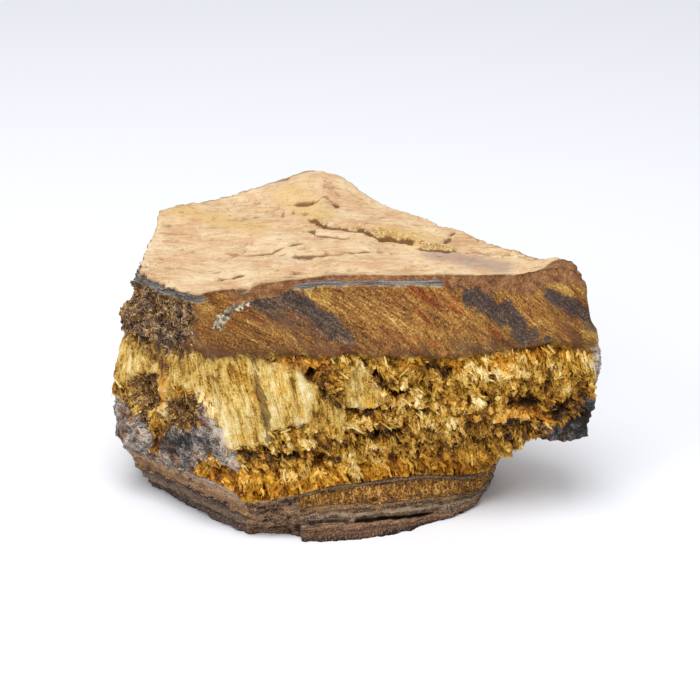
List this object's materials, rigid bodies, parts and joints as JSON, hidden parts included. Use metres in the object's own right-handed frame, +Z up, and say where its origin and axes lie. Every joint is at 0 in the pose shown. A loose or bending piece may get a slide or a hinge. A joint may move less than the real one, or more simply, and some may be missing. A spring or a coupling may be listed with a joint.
{
  "type": "rough tiger's eye stone",
  "caption": "Rough broken chunk of banded tiger's eye: flat crusted bedding plane on top, hackly golden seam, ironstone foot to rest on.",
  "frame": {"origin": "middle of the bounding box in plan, at the height of the flat base", "axes": "+X to the right along the broken front face, +Y away from that face, +Z up, square to the beds"},
  "size_m": [0.0916, 0.0614, 0.0513],
  "materials": {
    "tigers_eye": "rough, broken, silky in the golden seam"
  },
  "bodies": {
    "root": {"stone": "tigers_eye"}
  },
  "joints": []
}
